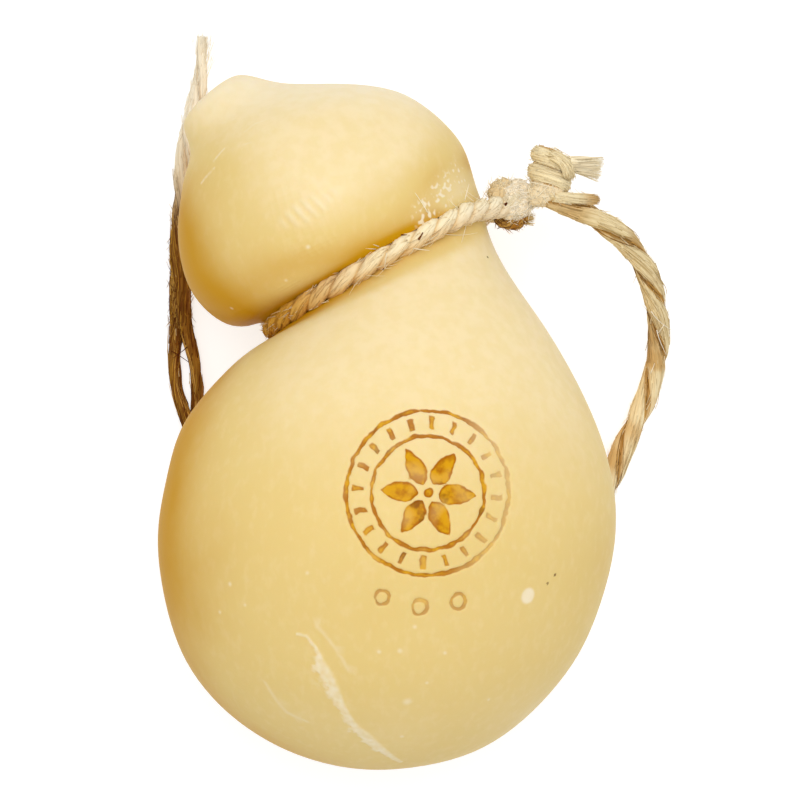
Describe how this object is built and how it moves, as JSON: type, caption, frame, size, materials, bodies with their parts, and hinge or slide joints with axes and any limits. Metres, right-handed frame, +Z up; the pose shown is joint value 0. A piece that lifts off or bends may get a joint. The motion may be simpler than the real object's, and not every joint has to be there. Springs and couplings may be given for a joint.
{
  "type": "caciocavallo cheese",
  "caption": "Pear-shaped stretched-curd cheese with a small round head above a tied neck, lying on its side with the knotted twine that it hangs by.",
  "frame": {"origin": "on the surface that the cheese lies on, under the middle of the cheese's box without its twine", "axes": "+Y along the cheese from its base to its head, +X to its right as seen from above with the head away, +Z up"},
  "size_m": [0.1592, 0.2268, 0.1292],
  "materials": {
    "rind": "smooth waxy satin rind, pale straw yellow, deeper gold in the folds",
    "twine": "dry twisted plant-fibre twine with stray fibres"
  },
  "bodies": {
    "root": {"cheese": "rind", "neck_tie": "twine", "hang_cord": "twine"}
  },
  "joints": []
}
